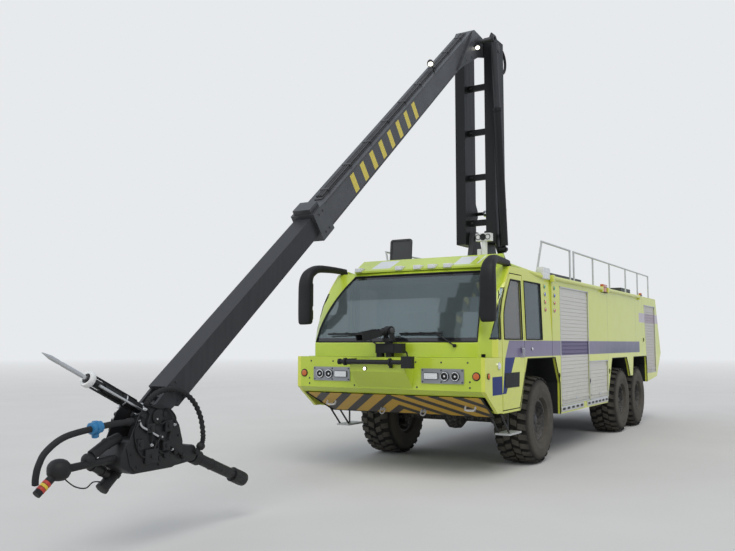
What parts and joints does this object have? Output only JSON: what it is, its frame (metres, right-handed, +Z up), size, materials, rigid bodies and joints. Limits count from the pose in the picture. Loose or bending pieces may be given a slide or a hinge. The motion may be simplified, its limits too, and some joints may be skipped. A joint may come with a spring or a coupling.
{
  "type": "airport fire truck with folding boom",
  "caption": "Airport fire truck with raked glass cab, ladder-like lower boom, and a telescoping upper boom that carries a piercing lance and water nozzle ahead of the bumper.",
  "frame": {"origin": "middle of the whole bounding box, on the floor", "axes": "+Z up, -Y towards the nose, +X to the vehicle's left"},
  "size_m": [3.302, 17.5504, 7.6905],
  "materials": {
    "paint_lime": "gloss",
    "black_steel": "satin",
    "grey_steel": "satin",
    "aluminium": "satin",
    "rubber": "matte",
    "glass": "gloss",
    "lamp": "gloss",
    "trim": "matte",
    "hazard": "satin"
  },
  "bodies": {
    "chassis": {"chassis_frame": "black_steel", "front_axle": "black_steel", "rear_axles": "black_steel", "engine_block": "grey_steel", "front_bumper": "paint_lime", "front_apron": "hazard", "lamps": "lamp", "cab_shell": "paint_lime", "cab_glass": "glass", "dashboard": "trim", "seats": "trim", "mirrors": "black_steel", "wipers": "black_steel", "roof_visor": "paint_lime", "entry_steps": "aluminium", "body_module": "paint_lime", "shutters": "aluminium", "rear_grille": "black_steel", "handrails": "aluminium", "roof_gear": "grey_steel", "bumper_lance": "black_steel", "turret_base": "grey_steel"},
    "knuckle_left": {"knuckle_left": "grey_steel"},
    "knuckle_right": {"knuckle_right": "grey_steel"},
    "wheel_front_left": {"tyre_front_left": "rubber", "rim_front_left": "grey_steel"},
    "wheel_front_right": {"tyre_front_right": "rubber", "rim_front_right": "grey_steel"},
    "wheel_mid_left": {"tyre_mid_left": "rubber", "rim_mid_left": "grey_steel"},
    "wheel_mid_right": {"tyre_mid_right": "rubber", "rim_mid_right": "grey_steel"},
    "wheel_rear_left": {"tyre_rear_left": "rubber", "rim_rear_left": "grey_steel"},
    "wheel_rear_right": {"tyre_rear_right": "rubber", "rim_rear_right": "grey_steel"},
    "door_left": {"door_left": "paint_lime", "door_glass_left": "glass"},
    "door_right": {"door_right": "paint_lime", "door_glass_right": "glass"},
    "roof_hatch": {"roof_hatch": "grey_steel"},
    "turret_swivel": {"turret_swivel": "black_steel"},
    "turret_nozzle": {"turret_nozzle": "black_steel"},
    "turntable": {"turntable": "grey_steel"},
    "lower_boom": {"lower_boom": "black_steel"},
    "lift_barrel": {"lift_barrel": "grey_steel"},
    "lift_rod": {"lift_rod": "aluminium"},
    "tilt_barrel": {"tilt_barrel": "black_steel"},
    "tilt_rod": {"tilt_rod": "grey_steel"},
    "upper_boom": {"upper_boom": "grey_steel"},
    "tip_boom": {"tip_boom": "grey_steel"},
    "nozzle_head": {"nozzle_head": "black_steel"},
    "main_nozzle": {"main_nozzle": "black_steel"}
  },
  "joints": [
    {"name": "wheel_front_left_spin", "type": "hinge", "parent": "knuckle_left", "child": "wheel_front_left", "pos_m": [1.213, -0.525, 0.69], "axis": [1, 0, 0], "continuous": true},
    {"name": "wheel_front_right_spin", "type": "hinge", "parent": "knuckle_right", "child": "wheel_front_right", "pos_m": [-1.213, -0.525, 0.69], "axis": [1, 0, 0], "continuous": true},
    {"name": "wheel_mid_left_spin", "type": "hinge", "parent": "chassis", "child": "wheel_mid_left", "pos_m": [1.213, 4.802, 0.69], "axis": [1, 0, 0], "continuous": true},
    {"name": "wheel_mid_right_spin", "type": "hinge", "parent": "chassis", "child": "wheel_mid_right", "pos_m": [-1.213, 4.802, 0.69], "axis": [1, 0, 0], "continuous": true},
    {"name": "wheel_rear_left_spin", "type": "hinge", "parent": "chassis", "child": "wheel_rear_left", "pos_m": [1.213, 6.338, 0.69], "axis": [1, 0, 0], "continuous": true},
    {"name": "wheel_rear_right_spin", "type": "hinge", "parent": "chassis", "child": "wheel_rear_right", "pos_m": [-1.213, 6.338, 0.69], "axis": [1, 0, 0], "continuous": true},
    {"name": "steer_left", "type": "hinge", "parent": "chassis", "child": "knuckle_left", "pos_m": [1.15, -0.525, 0.69], "axis": [0, 0, 1], "range_deg": [-25, 25]},
    {"name": "steer_right", "type": "hinge", "parent": "chassis", "child": "knuckle_right", "pos_m": [-1.15, -0.525, 0.69], "axis": [0, 0, 1], "range_deg": [-25, 25]},
    {"name": "door_left_hinge", "type": "hinge", "parent": "chassis", "child": "door_left", "pos_m": [1.56, -2.295, 1.9], "axis": [0, 0, -1], "range_deg": [0, 70]},
    {"name": "door_right_hinge", "type": "hinge", "parent": "chassis", "child": "door_right", "pos_m": [-1.56, -2.295, 1.9], "axis": [0, 0, 1], "range_deg": [0, 70]},
    {"name": "hatch_hinge", "type": "hinge", "parent": "chassis", "child": "roof_hatch", "pos_m": [-0.934, -0.775, 3.096], "axis": [1, 0, 0], "range_deg": [0, 95]},
    {"name": "turret_pan", "type": "hinge", "parent": "chassis", "child": "turret_swivel", "pos_m": [0.05, -2.905, 1.94], "axis": [0, 0, 1], "range_deg": [-60, 60]},
    {"name": "turret_tilt", "type": "hinge", "parent": "turret_swivel", "child": "turret_nozzle", "pos_m": [0.05, -2.905, 2.09], "axis": [-0.866, 0.5, 0], "range_deg": [-5, 50]},
    {"name": "boom_slew", "type": "hinge", "parent": "chassis", "child": "turntable", "pos_m": [0, 0.675, 3.1], "axis": [0, 0, -1], "range_deg": [-30, 30]},
    {"name": "boom_raise", "type": "hinge", "parent": "turntable", "child": "lower_boom", "pos_m": [0, 0.675, 3.85], "axis": [-1, 0, 0], "range_deg": [0, 90]},
    {"name": "boom_unfold", "type": "hinge", "parent": "lower_boom", "child": "upper_boom", "pos_m": [0, 0.625, 7.4], "axis": [-1, 0, 0], "range_deg": [0, 115]},
    {"name": "boom_extend", "type": "slide", "parent": "upper_boom", "child": "tip_boom", "axis": [0, -0.7727, -0.6347], "range_m": [-2.5, 0]},
    {"name": "head_tilt", "type": "hinge", "parent": "tip_boom", "child": "nozzle_head", "pos_m": [0, -7.505, 1.22], "axis": [1, 0, 0], "range_deg": [-12, 35]},
    {"name": "nozzle_tilt", "type": "hinge", "parent": "nozzle_head", "child": "main_nozzle", "pos_m": [0, -6.975, 0.82], "axis": [-1, 0, 0], "range_deg": [-20, 25]},
    {"name": "lift_barrel_turn", "type": "hinge", "parent": "turntable", "child": "lift_barrel", "pos_m": [0, 1.975, 3.3], "axis": [1, 0, 0], "range_deg": [-2, 60]},
    {"name": "lift_rod_slide", "type": "slide", "parent": "lift_barrel", "child": "lift_rod", "axis": [0, -0.7071, 0.7071], "range_m": [-0.66, 0.01]},
    {"name": "tilt_barrel_turn", "type": "hinge", "parent": "lower_boom", "child": "tilt_barrel", "pos_m": [0, 0.555, 3.6], "axis": [-1, 0, 0], "range_deg": [-2, 30]},
    {"name": "tilt_rod_slide", "type": "slide", "parent": "tilt_barrel", "child": "tilt_rod", "axis": [0, -0.0995, 0.995], "range_m": [-0.02, 0.6]}
  ],
  "couplings": [
    {"joint": "steer_right", "follows": "steer_left", "ratio": 1},
    {"joint": "lift_barrel_turn", "follows": "boom_raise", "ratio": 0.2716},
    {"joint": "lift_rod_slide", "follows": "boom_raise", "m_per_rad": -0.4014},
    {"joint": "tilt_barrel_turn", "follows": "boom_unfold", "ratio": 0.08042},
    {"joint": "tilt_rod_slide", "follows": "boom_unfold", "m_per_rad": 0.19776}
  ]
}
